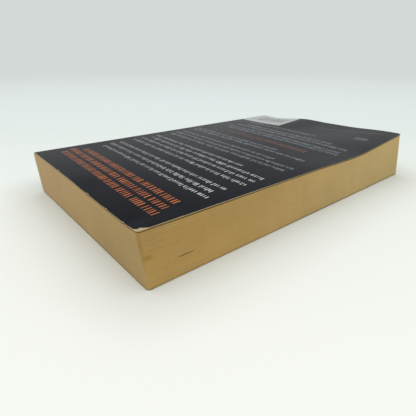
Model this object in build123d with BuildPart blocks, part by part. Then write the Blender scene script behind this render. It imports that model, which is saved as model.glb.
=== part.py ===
from build123d import *
from math import exp, hypot, sin
import os

# Paperback book lying on its front cover, with its back cover up.
# X runs from the spine to the fore edge, Y from the head to the tail, Z up from the table.
# The origin is the centre of the footprint, and all sizes are in millimetres.

# The closed book
cover_width = 110.0  # spine fold to fore edge
cover_height = 178.0  # head to tail
spine_thickness = 21.3  # table to the face of the back cover, beside the spine
fore_thickness = 20.1  # the same at the fore edge
lean = 4.0  # how far the top of the book has slipped towards the spine

# Cover card
card = 0.3
shoulder_radius = 2.5  # outside of the two folds beside the spine
strip_flat = 3.5  # flat part of the glued strip, from the shoulder to the crease
score_depth = 0.1  # groove along the crease, half of it in each piece
card_corner = 1.5  # worn outer corners of the covers
fold_stand_off = 0.1  # opening axis off the outer face, the loop of a folded card

# Binding glue
spine_glue = 0.6  # between the spine card and the backs of the leaves
side_glue = 0.1  # film that runs round onto the first and the last leaf
side_glue_reach = 1.5  # flat part of that film, past the shoulder

# Leaves
leaf_inset = 0.15  # leaves inside the edge of the cover
leaf_corner = 0.6
loose_gap = 0.25  # what a cover stands off the leaves at the fore edge, beyond the film
seam_count = 24  # partings between bunches of leaves
seam_height = 0.12
seam_depth = 0.2
seam_margin = 1.5  # leaves are bound together this far from their backs
seam_unevenness = 0.3  # share of a bunch that its parting wanders

# Parting that stands open at the fore edge
slit_from_head = 16.2  # its middle
slit_length = 6.5
slit_height = 0.45
slit_level = 7.2
slit_reach = 3.0  # into the leaves

# Curl of the back cover and the leaves at the tail
curl_length = 45.0  # stretch of the book that curls
curl_bend = 22.0  # first part of that stretch, which is the bend
curl_lift = 4.0  # at the fore corner of the tail
curl_reach = 24.0  # how soon the lift grows, going away from the spine
flat_beside_crease = 8.0  # strip of the back cover that the curl leaves flat
curl_stations = 6  # sections through the curl

overrun = 1.5  # rough solids run this far past the trimmed edges

# Lines that the sections share
half_height = cover_height / 2
slip = lean / spine_thickness  # sideways for each millimetre of height
across = hypot(1, slip)  # level distance for each millimetre square to the leaning spine
taper = (fore_thickness - spine_thickness) / cover_width
strip = shoulder_radius + strip_flat
lean_direction = (-slip, 0, 1)

# The upper shoulder reaches furthest back, and the lower fore edge furthest forward
shoulder_back = (slip * hypot(1, taper) + across) * shoulder_radius / (1 + slip * taper)
spine_x = (lean + shoulder_radius - shoulder_back - cover_width) / 2
fore_x = spine_x + cover_width
upper_spine_x = spine_x - lean
lower_crease_x = spine_x + strip
upper_crease_x = upper_spine_x + strip
curl_start_x = upper_crease_x + flat_beside_crease
curl_start_y = half_height - curl_length
rough_x = fore_x + overrun


def cover_face(x):
    """Height of the back cover's outer face before its curl."""
    return spine_thickness + taper * (x - upper_spine_x)


def lift(x, y):
    """How far the curl raises the back cover at a place."""
    along = y - curl_start_y
    if along <= 0 or x <= curl_start_x:
        return 0.0
    steepness = curl_lift / (curl_length - curl_bend / 2)
    bent = steepness * along * along / (2 * curl_bend)
    straight = steepness * (along - curl_bend / 2)
    raised = bent if along < curl_bend else straight
    return raised * (1 - exp(-(((x - curl_start_x) / curl_reach) ** 2)))


def slack(x, start):
    """Room between a cover and the leaves, which grows towards the fore edge."""
    return side_glue + loose_gap * max(0.0, (x - start) / (fore_x - start))


def leaves_bottom(x):
    return card + slack(x, lower_crease_x + flat_beside_crease)


def leaves_top(x, y):
    return cover_face(x) + lift(x, y) - card - slack(x, curl_start_x)


def upper_corner(inwards, down):
    """Where a line beside the spine meets a line under the back cover's face."""
    level = spine_thickness - down - taper * upper_spine_x
    x = (spine_x + inwards * across - slip * level) / (1 + slip * taper)
    return (x, level + taper * x)


def lower_corner(inwards, up):
    """Where a line beside the spine meets a level line above the table."""
    return (spine_x + inwards * across - slip * up, up)


def across_from(first, last, count):
    """Evenly spaced places from one to the other, both included."""
    return [first + (last - first) * k / count for k in range(count + 1)]


curve_xs = across_from(curl_start_x, rough_x, 8)
station_ys = across_from(curl_start_y, half_height, curl_stations)
station_step = curl_length / curl_stations
loft_ys = [curl_start_y - station_step, *station_ys, half_height + overrun]


def along_the_book(draw):
    """Solid of the book's length: straight as far as the curl, and lofted through it."""
    with BuildPart() as rough:
        with BuildSketch(Plane.XZ.offset(-loft_ys[0])):
            with BuildLine():
                draw(loft_ys[0])
            make_face()
        extrude(amount=loft_ys[0] + half_height + overrun)
        for y in loft_ys:
            with BuildSketch(Plane.XZ.offset(-y)):
                with BuildLine():
                    draw(y)
                make_face()
        loft()
    return rough.part


def trimmed_column(inset, corner):
    """Upright of the trimmed book, leaning as it does, with its two fore corners rounded."""
    with BuildPart() as column:
        with BuildSketch() as outline:
            with Locations((fore_x - inset, 0)):
                Rectangle(
                    2 * cover_width,
                    cover_height - 2 * inset,
                    align=(Align.MAX, Align.CENTER),
                )
            fillet(outline.vertices().group_by(Axis.X)[-1], corner)
        extrude(amount=2 * (spine_thickness + curl_lift), dir=lean_direction, both=True)
    return column.part


# Leaves
def draw_leaves(y):
    upper_end = (curl_start_x, leaves_top(curl_start_x, y))
    lower_bend_x = lower_crease_x + flat_beside_crease
    inwards = card + spine_glue
    shoulder = shoulder_radius - card - side_glue
    FilletPolyline(
        upper_end,
        upper_corner(inwards, card + side_glue),
        lower_corner(inwards, card + side_glue),
        (lower_bend_x, leaves_bottom(lower_bend_x)),
        (rough_x, leaves_bottom(rough_x)),
        radius=[shoulder, shoulder, 0],
    )
    upper_face = [(x, leaves_top(x, y)) for x in curve_xs]
    Line((rough_x, leaves_bottom(rough_x)), upper_face[-1])
    Spline(upper_face)


seam_shares = [
    (k + 0.5 + seam_unevenness * sin(2.4 * k)) / seam_count for k in range(seam_count)
]


def seam_level(share, x, y):
    """Height of a parting, which fans out with the leaves where they curl."""
    return leaves_bottom(x) + share * (leaves_top(x, y) - leaves_bottom(x))


def draw_seam(places, levels):
    """Outline of one parting on a face of the leaves, straight up to its second place."""
    lower = [(place, z - seam_height / 2) for place, z in zip(places, levels)]
    upper = [(place, z + seam_height / 2) for place, z in zip(places, levels)]
    for side in (lower, upper):
        Line(side[0], side[1])
        Spline(side[1:])
    Line(lower[0], upper[0])
    Line(lower[-1], upper[-1])


rough_leaves = along_the_book(draw_leaves)
leaf_column = trimmed_column(leaf_inset, leaf_corner)
head_face = Plane.XZ.offset(half_height - leaf_inset)
tail_face = Plane.XZ.offset(leaf_inset - half_height)
fore_face = Plane(
    origin=(fore_x - leaf_inset, 0, 0), x_dir=(0, 1, 0), z_dir=(1, 0, slip)
)
back_x = spine_x + (card + spine_glue + seam_margin) * across
fore_ys = [-half_height - overrun, *loft_ys]

with BuildPart() as page_block:
    add(rough_leaves)
    add(leaf_column, mode=Mode.INTERSECT)
    for face, inwards in ((head_face, -seam_depth), (tail_face, seam_depth)):
        with BuildSketch(face):
            for share in seam_shares:
                with BuildLine():
                    seam_xs = [back_x - slip * share * spine_thickness, *curve_xs]
                    levels = [seam_level(share, x, face.origin.Y) for x in seam_xs]
                    draw_seam(seam_xs, levels)
                make_face()
        extrude(amount=inwards, mode=Mode.SUBTRACT)
    with BuildSketch(fore_face):
        for share in seam_shares:
            with BuildLine():
                seam_x = fore_x - slip * share * fore_thickness
                levels = [seam_level(share, seam_x, y) * across for y in fore_ys]
                draw_seam(fore_ys, levels)
            make_face()
    extrude(amount=-seam_depth, mode=Mode.SUBTRACT)
    with BuildSketch(Plane.YZ.offset(fore_x)):
        with BuildLine():
            slit_y = slit_from_head - half_height
            ends = [(slit_y + side * slit_length / 2, slit_level) for side in (-1, 1)]
            ThreePointArc(ends[0], (slit_y, slit_level + slit_height / 2), ends[1])
            ThreePointArc(ends[1], (slit_y, slit_level - slit_height / 2), ends[0])
        make_face()
    extrude(amount=-(slip * slit_level + leaf_inset + slit_reach), mode=Mode.SUBTRACT)
page_block.part.label = "page_block"


# Binding glue, round the backs of the leaves
with BuildPart() as binding_glue:
    with BuildSketch(Plane.XZ):
        with BuildLine():
            glue_reach = shoulder_radius + side_glue_reach
            lower_end_x = spine_x + glue_reach
            upper_end_x = upper_spine_x + glue_reach
            outside = FilletPolyline(
                (lower_end_x, card),
                lower_corner(card, card),
                upper_corner(card, card),
                (upper_end_x, cover_face(upper_end_x) - card),
                radius=shoulder_radius - card,
            )
            inside = FilletPolyline(
                (lower_end_x, card + side_glue),
                lower_corner(card + spine_glue, card + side_glue),
                upper_corner(card + spine_glue, card + side_glue),
                (upper_end_x, cover_face(upper_end_x) - card - side_glue),
                radius=shoulder_radius - card - side_glue,
            )
            Line(outside @ 0, inside @ 0)
            Line(outside @ 1, inside @ 1)
        make_face()
    extrude(amount=half_height - leaf_inset, both=True)
binding_glue.part.label = "binding_glue"


# Spine of the cover, with the glued strip beside each shoulder
with BuildPart() as cover_spine:
    with BuildSketch(Plane.XZ):
        with BuildLine():
            upper_z = cover_face(upper_crease_x)
            outside = FilletPolyline(
                (lower_crease_x - score_depth, 0),
                lower_corner(0, 0),
                upper_corner(0, 0),
                (upper_crease_x - score_depth, cover_face(upper_crease_x - score_depth)),
                radius=shoulder_radius,
            )
            inside = FilletPolyline(
                (lower_crease_x, card),
                lower_corner(card, card),
                upper_corner(card, card),
                (upper_crease_x, upper_z - card),
                radius=shoulder_radius - card,
            )
            Polyline(outside @ 0, (lower_crease_x, score_depth), inside @ 0)
            Polyline(outside @ 1, (upper_crease_x, upper_z - score_depth), inside @ 1)
        make_face()
    extrude(amount=half_height, both=True)
cover_spine.part.label = "cover_spine"


# Back cover, which curls up with the leaves at the tail
def draw_back_cover(y):
    outer = [(x, cover_face(x) + lift(x, y)) for x in curve_xs]
    inner = [(x, z - card) for x, z in outer]
    edge_z = cover_face(upper_crease_x)
    Polyline(
        outer[0],
        (upper_crease_x + score_depth, cover_face(upper_crease_x + score_depth)),
        (upper_crease_x, edge_z - score_depth),
        (upper_crease_x, edge_z - card),
        inner[0],
    )
    Spline(inner)
    Line(inner[-1], outer[-1])
    Spline(outer)


rough_back_cover = along_the_book(draw_back_cover)
card_column = trimmed_column(0, card_corner)

with BuildPart() as back_cover:
    add(rough_back_cover)
    add(card_column, mode=Mode.INTERSECT)
back_cover.part.label = "back_cover"


# Front cover, flat on the table
with BuildPart() as front_cover:
    with BuildSketch(Plane.XZ):
        with BuildLine():
            Polyline(
                (lower_crease_x + score_depth, 0),
                (rough_x, 0),
                (rough_x, card),
                (lower_crease_x, card),
                (lower_crease_x, score_depth),
                close=True,
            )
        make_face()
    extrude(amount=half_height + overrun, both=True)
    add(card_column, mode=Mode.INTERSECT)
front_cover.part.label = "front_cover"


# Each cover opens about a line along Y
upper_axis_z = cover_face(upper_crease_x) + fold_stand_off
print(f"back cover opens about x {upper_crease_x:.4f}, z {upper_axis_z:.4f}")
print(f"front cover opens about x {lower_crease_x:.4f}, z {-fold_stand_off:.4f}")

os.makedirs("parts", exist_ok=True)
export_step(page_block.part, "parts/page_block.step")
export_step(binding_glue.part, "parts/binding_glue.step")
export_step(cover_spine.part, "parts/cover_spine.step")
export_step(back_cover.part, "parts/back_cover.step")
export_step(front_cover.part, "parts/front_cover.step")
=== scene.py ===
"""Paperback book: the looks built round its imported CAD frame."""

import math
import random
from contextlib import contextmanager

import bpy
import numpy as np
from mathutils import Matrix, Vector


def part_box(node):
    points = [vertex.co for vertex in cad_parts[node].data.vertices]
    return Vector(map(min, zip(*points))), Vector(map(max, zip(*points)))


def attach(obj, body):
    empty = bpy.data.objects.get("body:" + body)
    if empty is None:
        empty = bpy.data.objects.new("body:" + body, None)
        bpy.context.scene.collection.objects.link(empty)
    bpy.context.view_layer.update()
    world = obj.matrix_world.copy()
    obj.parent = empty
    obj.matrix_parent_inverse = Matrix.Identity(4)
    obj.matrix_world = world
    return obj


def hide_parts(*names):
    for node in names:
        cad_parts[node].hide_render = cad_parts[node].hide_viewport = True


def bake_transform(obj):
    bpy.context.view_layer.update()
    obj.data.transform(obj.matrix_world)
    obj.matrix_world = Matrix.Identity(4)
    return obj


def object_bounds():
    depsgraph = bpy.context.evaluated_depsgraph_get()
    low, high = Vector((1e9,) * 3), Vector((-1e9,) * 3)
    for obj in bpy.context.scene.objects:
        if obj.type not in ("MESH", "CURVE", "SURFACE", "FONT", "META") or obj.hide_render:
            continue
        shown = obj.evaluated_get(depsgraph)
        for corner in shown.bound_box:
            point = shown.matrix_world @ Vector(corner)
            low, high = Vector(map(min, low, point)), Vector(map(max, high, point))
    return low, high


bl_info = {
    "name": "Paperback book",
    "version": (1, 0, 0),
    "blender": (4, 5, 0),
    "location": "View3D > Sidebar > Book",
    "description": "Builds a worn paperback book round its CAD frame",
    "category": "Add Mesh",
}

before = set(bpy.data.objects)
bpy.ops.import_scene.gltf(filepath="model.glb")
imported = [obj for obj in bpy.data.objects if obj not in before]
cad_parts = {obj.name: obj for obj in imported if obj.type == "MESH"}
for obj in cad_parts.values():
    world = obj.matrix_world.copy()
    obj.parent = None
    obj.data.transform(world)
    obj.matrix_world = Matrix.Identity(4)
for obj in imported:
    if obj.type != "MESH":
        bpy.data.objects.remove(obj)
cad_box = [list(corner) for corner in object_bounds()]

MM = 0.001

# Lines shared with the CAD model, in metres
HALF_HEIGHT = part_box("cover_spine")[1].y
FORE_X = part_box("front_cover")[1].x
COVER_WIDTH = 110.0 * MM
SPINE_THICKNESS = 21.3 * MM
FORE_THICKNESS = 20.1 * MM
LEAN = 4.0 * MM
CARD = 0.3 * MM
SHOULDER_RADIUS = 2.5 * MM
STRIP = 6.0 * MM
SCORE = 0.1 * MM
SPINE_GLUE = 0.6 * MM
SIDE_GLUE = 0.1 * MM
LOOSE_GAP = 0.25 * MM
LEAF_INSET = 0.15 * MM
CURL_LENGTH = 45.0 * MM
CURL_BEND = 22.0 * MM
CURL_LIFT = 4.0 * MM
CURL_REACH = 24.0 * MM
FLAT_BESIDE_CREASE = 8.0 * MM
PARTINGS = 24
SLIT_Y = -72.5 * MM
SLIT_LENGTH = 7.2 * MM
SLIT_LEVEL = 7.2 * MM

SLIP = LEAN / SPINE_THICKNESS
ACROSS = math.hypot(1, SLIP)
TAPER = (FORE_THICKNESS - SPINE_THICKNESS) / COVER_WIDTH
SPINE_X = FORE_X - COVER_WIDTH
UPPER_SPINE_X = SPINE_X - LEAN
LOWER_CREASE_X = SPINE_X + STRIP
UPPER_CREASE_X = UPPER_SPINE_X + STRIP
CURL_START_X = UPPER_CREASE_X + FLAT_BESIDE_CREASE
CURL_START_Y = HALF_HEIGHT - CURL_LENGTH

# What wear and the single leaves add to those lines
LEAVES = 160
LEAVES_BOTTOM = CARD + SIDE_GLUE + 0.02 * MM
FOLD_REACH = 0.5 * MM  # each cover's card turns over this far either side of its crease
SWAY = 1.4 * MM  # the fore edge stands out at the curled corner
STAND_BACK = 0.8 * MM  # the upper leaves stand back at the head's fore corner
HEAD_RELIEF = 0.35  # how rough the head and tail are beside the fore edge
SLIT_DROP = 0.33 * MM  # the slit stands this much lower along the leaves than in the block
SLIT_DEPTH = 0.62 * MM
SLIT_OPENING = 0.10 * MM
SLIT_COLUMNS = 6  # columns of points that the slit opens, inwards from the fore edge
CARD_RIM = 0.04 * MM
WEAR_REACH = 2 * MM  # how far in the nibbled outline moves the card's points
RIPPLE = 0.05 * MM
STRIP_STEPS, SHOULDER_STEPS, WALL_STEPS = 6, 14, 24  # steps along the spine card's outline


def length(name, description, default):
    return bpy.props.FloatProperty(
        name=name, description=description, default=default, min=0.0, unit="LENGTH"
    )


def tint(name, description, default):
    return bpy.props.FloatVectorProperty(
        name=name, description=description, default=default, size=3, min=0.0, max=1.0,
        subtype="COLOR",
    )


class PaperbackSizes(bpy.types.PropertyGroup):
    """Sizes of the book's surface detail."""

    leaf_relief: length("Leaf relief", "How far single leaves stand in and out", 0.008 * MM)
    bunch_relief: length("Bunch relief", "How far bunches of leaves stand in and out", 0.018 * MM)
    leaf_corner: length("Leaf corner", "Radius of the leaves' rubbed upright corners", 0.8 * MM)
    card_corner: length("Card corner", "Radius of the worn corners of the cover", 1.5 * MM)
    edge_wear: length("Edge wear", "Width of the bare line along the cover's edges", 0.09 * MM)
    ink_height: length("Ink height", "How far the print stands off the card", 0.02 * MM)


class PaperbackColours(bpy.types.PropertyGroup):
    """Colours of the book's finishes, linear."""

    fore_edge: tint("Fore edge", "Browned leaves at the fore edge", (0.425, 0.266, 0.086))
    fore_far: tint("Fore edge, tail end", "Paler leaves near the tail", (0.53, 0.378, 0.160))
    head_edge: tint("Head and tail", "Browned leaves at the head and tail", (0.41, 0.277, 0.119))
    head_far: tint("Head, spine end", "Paler leaves near the spine", (0.47, 0.315, 0.155))
    pale_leaf: tint("Pale leaves", "A few leaves near the near corner", (0.58, 0.42, 0.19))
    rubbed_leaf: tint("Rubbed corner", "Leaves rubbed at the near corner", (0.30, 0.185, 0.048))
    page: tint("Page", "Face of the first and last leaf", (0.66, 0.55, 0.36))
    stain: tint("Stain", "Brown spot on the fore edge", (0.34, 0.185, 0.030))
    # painted shade: laid under the covers' edges and in the slit, and with some dirt in the
    # partings
    shade: tint("Shade", "Dirt and shade between leaves", (0.135, 0.072, 0.020))
    laminate: tint("Laminate", "Black face of the cover", (0.0024, 0.0034, 0.0070))
    scratch: tint("Scratch", "Fine scratches over the black", (0.2, 0.2, 0.2))
    # scuffing and painted reflection: a lighter grey laid over the curled corner
    scuff_and_reflection: tint("Scuff", "Rubbing on the curled corner", (0.25, 0.24, 0.225))
    bend: tint("Bend", "Faint bend in the card", (0.3, 0.3, 0.31))
    raw_card: tint("Raw card", "Inside and worn edges of the cover", (0.49, 0.39, 0.22))
    rubbed_edge: tint("Rubbed edge", "Cut edges of the cover", (0.41, 0.325, 0.185))
    glue: tint("Glue", "Hot-melt glue behind the leaves", (0.62, 0.55, 0.40))
    heading_ink: tint("Heading ink", "Orange print", (0.64, 0.175, 0.050))
    orange_ink: tint("Orange ink", "Dimmer orange print further down", (0.21, 0.074, 0.045))
    text_ink: tint("Text ink", "White print", (0.80, 0.82, 0.81))
    grey_ink: tint("Grey ink", "Fainter print near the tail", (0.25, 0.285, 0.30))
    mark_ink: tint("Mark ink", "Small dull mark near the tail", (0.088, 0.088, 0.091))
    panel_ink: tint("Panel", "White panel at the tail", (0.415, 0.427, 0.412))
    stripe_ink: tint("Stripes", "Dark stripes on the panel", (0.05, 0.05, 0.055))
    floor: tint("Floor", "Pale floor in front of the book", (0.975, 0.975, 0.91))
    floor_middle: tint("Floor middle", "Pale floor behind the book", (0.80, 0.845, 0.81))
    floor_far: tint("Floor far", "Pale floor further back", (0.765, 0.818, 0.797))
    backdrop: tint("Backdrop", "Pale background", (0.658, 0.694, 0.68))
    room_light: tint("Room light", "Soft light from all round", (0.96, 0.99, 1.0))


def smoothstep(low, high, value):
    t = np.clip((value - low) / (high - low), 0.0, 1.0)
    return t * t * (3 - 2 * t)


def cover_face(x):
    """Height of the back cover's outer face before its curl."""
    return SPINE_THICKNESS + TAPER * (x - UPPER_SPINE_X)


def wave(x, y):
    """How far the worn back cover dips or stands up at its free edges, beside its plain curl.
    The heights are in mm."""
    fore = 0.1 * smoothstep(-68 * MM, -80 * MM, y) - 0.26
    fore = fore - 0.44 * smoothstep(0.0, 32 * MM, y) + 1.2 * smoothstep(36 * MM, 64 * MM, y)
    fore = fore - 0.15 * smoothstep(76 * MM, HALF_HEIGHT, y)
    head = -0.48 * smoothstep(-60 * MM, -HALF_HEIGHT, y) * smoothstep(-6 * MM, 14 * MM, x)
    tail = -0.95 * smoothstep(48 * MM, 85 * MM, y) * smoothstep(-18 * MM, 4 * MM, x)
    return (
        fore * smoothstep(5 * MM, 45 * MM, x)
        + head * (1 - smoothstep(44 * MM, 53 * MM, x))
        + tail * (1 - smoothstep(20 * MM, 48 * MM, x))
    ) * MM


def lift(x, y):
    """How far the curl and the wave raise the back cover."""
    along = np.maximum(y - CURL_START_Y, 0.0)
    steepness = CURL_LIFT / (CURL_LENGTH - CURL_BEND / 2)
    bent = steepness * along * along / (2 * CURL_BEND)
    straight = steepness * (along - CURL_BEND / 2)
    raised = np.where(along < CURL_BEND, bent, straight)
    reach = np.maximum(x - CURL_START_X, 0.0) / CURL_REACH
    return raised * (1 - np.exp(-reach * reach)) + wave(x, y)


def leaves_top(x, y):
    """Height of the topmost leaf, looser under the cover towards the fore edge."""
    slack = SIDE_GLUE + LOOSE_GAP * np.maximum(0.0, (x - CURL_START_X) / (FORE_X - CURL_START_X))
    return cover_face(x) + lift(x, y) - CARD - slack


def fore_edge_x(y):
    """Where the leaning fore edge meets the back cover's face."""
    x = np.full_like(y, FORE_X - SLIP * FORE_THICKNESS)
    for _ in range(4):
        x = FORE_X - SLIP * (cover_face(x) + lift(x, y))
    return x


def sway(y, z):
    """How far the fore edge stands out near the tail, most of all at the top."""
    return SWAY * smoothstep(30 * MM, HALF_HEIGHT, y) * z / FORE_THICKNESS


def stand_back(y, leaf):
    """How far the upper leaves stand back near the head."""
    return STAND_BACK * smoothstep(-55 * MM, -HALF_HEIGHT, y) * smoothstep(0.3, 1.0, leaf)


def leaves_fore(y, z, leaf):
    """Where each leaf's fore edge is, before its own relief."""
    return FORE_X - LEAF_INSET - SLIP * z + sway(y, z) - stand_back(y, leaf)


def stations(start, *runs):
    """Places along an edge from the start on: each run is (where it ends, number of steps)."""
    places = [start]
    for end, steps in runs:
        places += [start + (end - start) * k / steps for k in range(1, steps + 1)]
        start = end
    return np.array(places)


def wander(values, seed, waves, roughness=0.6):
    """Smooth uneven line between about -1 and 1, made of a few waves."""
    draw = random.Random(seed)
    total = np.zeros_like(values, dtype=float)
    size = 0.0
    for k in range(1, waves + 1):
        amplitude = roughness ** (k - 1)
        total += amplitude * np.sin(
            values * (1.7 ** k) * draw.uniform(0.8, 1.2) + draw.uniform(0, 2 * math.pi)
        )
        size += amplitude
    return total / size


def rounded_corner(out_x, out_y, radius):
    """Moves points of a square corner onto a round one. Both are distances outwards from
    the corner's centre, and only points with both above nought move."""
    u = np.clip(out_x / radius, 0.0, 1.0)
    v = np.clip(out_y / radius, 0.0, 1.0)
    both = (out_x > 0) & (out_y > 0)
    return (
        np.where(both, radius * u * np.sqrt(1 - v * v / 2), out_x),
        np.where(both, radius * v * np.sqrt(1 - u * u / 2), out_y),
    )


def clear_selection():
    if bpy.context.object and bpy.context.object.mode != "OBJECT":
        bpy.ops.object.mode_set(mode="OBJECT")
    bpy.ops.object.select_all(action="DESELECT")


def only(*pieces):
    """Selects just these pieces and makes the first one active."""
    clear_selection()
    for piece in pieces:
        piece.select_set(True)
    bpy.context.view_layer.objects.active = pieces[0]


@contextmanager
def editing():
    bpy.ops.object.mode_set(mode="EDIT")
    yield
    bpy.ops.object.mode_set(mode="OBJECT")


def read(parts, name, size, kind=float):
    """A value of every vertex, edge or face of a mesh, one to a row."""
    values = np.empty(len(parts) * size, dtype=kind)
    parts.foreach_get(name, values)
    return values.reshape(-1, size)


def points_of(piece):
    return read(piece.data.vertices, "co", 3)


def set_points(piece, x, y, z):
    places = np.stack([x, y, z], axis=1)
    piece.data.vertices.foreach_set("co", np.ascontiguousarray(places, dtype=float).ravel())
    piece.data.update()


def set_values(piece, name, values):
    """Stores one number per point, for the materials to read."""
    layer = piece.data.attributes.new(name, "FLOAT", "POINT")
    layer.data.foreach_set("value", np.asarray(values, dtype=np.float32))


def select(mesh, **masks):
    """Selects just these edges or polygons of a mesh."""
    for kind in ("vertices", "edges", "polygons"):
        parts = getattr(mesh, kind)
        parts.foreach_set("select", masks.get(kind, np.zeros(len(parts), dtype=bool)))


def new_piece(name):
    """The primitive just added, named, with its place in its mesh."""
    piece = bpy.context.object
    piece.name = piece.data.name = name
    bpy.ops.object.transform_apply(location=True, rotation=True, scale=True)
    return piece


def place_index(values, count):
    return np.clip(np.rint(values * count).astype(int), 0, count)


def cut_block(name, cuts):
    """A cube one metre wide. Each axis has one or more numbers: the first cuts the cube into
    that many slices, and any other cuts each slice again."""
    clear_selection()
    bpy.ops.mesh.primitive_cube_add(size=1, location=(0.5, 0.5, 0.5))
    piece = new_piece(name)
    bpy.context.tool_settings.mesh_select_mode = (False, True, False)
    for axis, slices in enumerate(cuts):
        for number in slices:
            ends = read(piece.data.edges, "vertices", 2, int)
            places = points_of(piece)
            run = np.abs(places[ends[:, 0]] - places[ends[:, 1]])
            select(piece.data, edges=run[:, axis] > 1e-6)
            with editing():
                bpy.ops.mesh.subdivide(number_cuts=number - 1)
    return piece


def cut_sheet(name, across, along):
    """A flat grid with a column of points for each value across and a row for each one
    along. Each point's two values come with it."""
    clear_selection()
    columns, rows = len(across) - 1, len(along) - 1
    bpy.ops.mesh.primitive_grid_add(
        x_subdivisions=columns, y_subdivisions=rows, size=1, location=(0.5, 0.5, 0)
    )
    piece = new_piece(name)
    unit = points_of(piece)
    return piece, across[place_index(unit[:, 0], columns)], along[place_index(unit[:, 1], rows)]


def turn_outwards(piece, inside):
    """Turns an open sheet's faces away from a point."""
    centres, normals = (read(piece.data.polygons, name, 3) for name in ("center", "normal"))
    if ((centres - np.array(inside)) * normals).sum() < 0:
        only(piece)
        with editing():
            bpy.ops.mesh.select_all(action="SELECT")
            bpy.ops.mesh.flip_normals()


def apply_modifier(piece, kind, **settings):
    modifier = piece.modifiers.new(kind.lower(), kind)
    for name, value in settings.items():
        setattr(modifier, name, value)
    bpy.ops.object.modifier_apply(modifier=modifier.name)


def make_solid(piece, thickness, edge_round=0.0):
    """Gives a sheet its thickness, inwards, and takes the sharpness off its rim."""
    only(piece)
    apply_modifier(
        piece, "SOLIDIFY", thickness=thickness, offset=-1.0, use_even_offset=True,
        material_offset=1, material_offset_rim=1,
    )
    if edge_round:
        apply_modifier(
            piece, "BEVEL", width=edge_round, segments=2, limit_method="ANGLE",
            angle_limit=math.radians(60), use_clamp_overlap=True, material=1,
        )


def shade_smooth(piece, degrees):
    """Draws in what stands outside the CAD model's box, and smooths the piece."""
    low, high = np.array(cad_box)
    set_points(piece, *np.clip(points_of(piece), low, high).T)
    only(piece)
    bpy.ops.object.shade_smooth_by_angle(angle=math.radians(degrees))


class Flow:
    """One output of a node. Sums and products of these make further nodes."""

    def __init__(self, tree, socket):
        self.tree, self.socket = tree, socket

    def __add__(self, other):
        return self.tree.math("ADD", self, other)

    def __sub__(self, other):
        return self.tree.math("SUBTRACT", self, other)

    def __rsub__(self, other):
        return self.tree.math("SUBTRACT", other, self)

    def __mul__(self, other):
        return self.tree.math("MULTIPLY", self, other)

    def __truediv__(self, other):
        return self.tree.math("DIVIDE", self, other)


class Nodes:
    """The nodes of a material or of the world."""

    def __init__(self, owner, clear=True, places="Object"):
        owner.use_nodes = True
        self.nodes, self.links = owner.node_tree.nodes, owner.node_tree.links
        if clear:
            self.nodes.clear()
        self.places = self.node("TexCoord", out=places)

    def join(self, source, target):
        if isinstance(source, Flow):
            self.links.new(source.socket, target)
        elif isinstance(source, tuple):
            target.default_value = (*source, 1.0) if target.type == "RGBA" else source
        else:
            target.default_value = source

    def node(self, kind, sources=(), out=0, **settings):
        """Adds a node with its settings and sources, and gives one of its outputs."""
        node = self.nodes.new("ShaderNode" + kind)
        for name, value in settings.items():
            setattr(node, name, value)
        pairs = sources.items() if isinstance(sources, dict) else enumerate(sources)
        for place, source in pairs:
            self.join(source, node.inputs[place])
        return Flow(self, node.outputs[out])

    def show(self, kind, shader):
        self.join(shader, self.nodes.new("ShaderNode" + kind).inputs["Surface"])

    def axis(self, name):
        return self.node("SeparateXYZ", (self.places,), name)

    def math(self, kind, *sources, clamp=False):
        return self.node("Math", sources, operation=kind, use_clamp=clamp)

    def measure(self, kind, *sources):
        """A number worked out from places."""
        return self.node("VectorMath", sources, "Value", operation=kind)

    def fade(self, source, low, high, start=0.0, end=1.0, kind="SMOOTHSTEP"):
        return self.node("MapRange", (source, low, high, start, end), interpolation_type=kind)

    def noise(self, scale, detail=3.0, roughness=0.55, places=None):
        sources = {"Scale": scale, "Detail": detail, "Roughness": roughness}
        return self.node("TexNoise", {"Vector": places or self.places, **sources})

    def stretched(self, x, y, z):
        return self.node("Mapping", {"Vector": self.places, "Scale": (x, y, z)})

    def mix(self, share, first, second):
        return self.node("Mix", {0: share, 6: first, 7: second}, 2, data_type="RGBA")

    def shaded(self, colour, amount):
        """The colour made lighter or darker by a number about 1."""
        return self.node("VectorMath", {0: colour, "Scale": amount}, operation="SCALE")

    def ramp(self, source, stops, shades):
        node = self.nodes.new("ShaderNodeValToRGB")
        elements = node.color_ramp.elements
        while len(elements) < len(stops):
            elements.new(0.5)
        for element, stop, shade in zip(elements, stops, shades):
            element.position, element.color = stop, (*shade, 1.0)
        self.join(source, node.inputs[0])
        return Flow(self, node.outputs[0])

    def spot(self, centre, reach):
        """1 at a place, fading to 0 at its reach along each axis that has one."""
        parts = [
            (self.axis(name) - middle) / far
            for name, middle, far in zip("XYZ", centre, reach) if far
        ]
        total = parts[0] * parts[0]
        for part in parts[1:]:
            total = total + part * part
        return self.math("SUBTRACT", 1.0, total, clamp=True)

    def far_shown(self, share, near, far):
        """The second shader, by its share, on what the camera sees, and the first otherwise."""
        seen = self.node("LightPath", out="Is Camera Ray")
        return self.node("MixShader", (seen * share if share else seen, near, far))


class Finish(Nodes):
    """A material of the book's own."""

    def __init__(self, name, roughness, gloss):
        self.material = bpy.data.materials.new(name)
        super().__init__(self.material, clear=False)
        self.shader = next(n for n in self.nodes if n.type == "BSDF_PRINCIPLED")
        self.dress({"Roughness": roughness, "Specular IOR Level": gloss})

    def dress(self, sources):
        for name, source in sources.items():
            self.join(source, self.shader.inputs[name])

    def value(self, name):
        return self.node("Attribute", out="Fac", attribute_name=name)

    def done(self, colour, roughness, height, distance, strength):
        """Joins the colour, roughness and relief to the shader."""
        relief = {"Height": height, "Distance": distance, "Strength": strength}
        self.dress(
            {"Base Color": colour, "Roughness": roughness, "Normal": self.node("Bump", relief)}
        )
        return self.material


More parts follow.
